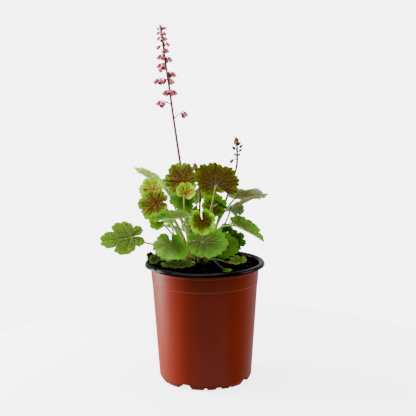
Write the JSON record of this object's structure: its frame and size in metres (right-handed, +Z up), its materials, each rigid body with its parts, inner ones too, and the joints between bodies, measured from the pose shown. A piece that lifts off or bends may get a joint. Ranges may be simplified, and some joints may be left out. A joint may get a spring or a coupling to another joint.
{
  "type": "heuchera plant",
  "caption": "Potted heuchera: a crown of round lobed leaves on thin stalks, with slender spikes of small hanging bells, in a tapered two-colour nursery pot filled with soil",
  "frame": {"origin": "centre of the pot's underside, on the surface it stands on", "axes": "+Z up, along the pot's axis; -Y towards the front; +X to the right"},
  "size_m": [0.2306, 0.165, 0.4864],
  "materials": {
    "pot": "gloss terracotta outside, gloss black inside and on the lip",
    "soil": "loose damp potting mix",
    "crown": "rough woody stock",
    "leaf": "soft hairy leaf, green with bronze",
    "flowers": "waxy coral bells on red-brown stems"
  },
  "bodies": {
    "root": {"pot": "pot", "soil": "soil", "crown": "crown", "leaf_top_right": "leaf", "leaf_top_middle": "leaf", "leaf_left_bronze": "leaf", "leaf_left_young": "leaf", "leaf_middle_young": "leaf", "leaf_far_left_tip": "leaf", "leaf_left_high": "leaf", "leaf_right_inner": "leaf", "leaf_right_high": "leaf", "leaf_right_folded": "leaf", "leaf_right_thin": "leaf", "leaf_right_pale": "leaf", "leaf_right_long": "leaf", "leaf_right_shaded": "leaf", "leaf_right_shaded_high": "leaf", "leaf_front_right": "leaf", "leaf_front_middle": "leaf", "leaf_front_left": "leaf", "leaf_far_left": "leaf", "leaf_middle_edge": "leaf", "leaf_left_under": "leaf", "leaf_left_lowest": "leaf", "leaf_inner_left": "leaf", "leaf_inner_middle": "leaf", "leaf_inner_right": "leaf", "leaf_inner_centre": "leaf", "leaf_inner_low": "leaf", "leaf_back_pale": "leaf", "leaf_left_hidden": "leaf", "leaf_low_right": "leaf", "leaf_inner_dark": "leaf", "leaf_soil_right": "leaf", "leaf_soil_left": "leaf", "leaf_soil_front": "leaf", "leaf_rim_front": "leaf", "leaf_rim_right": "leaf", "leaf_back_high": "leaf", "leaf_back_left": "leaf", "leaf_back_right": "leaf", "leaf_back_middle": "leaf", "flower_spike_tall": "flowers", "flower_spike_right": "flowers", "flower_spike_middle": "flowers"}
  },
  "joints": []
}
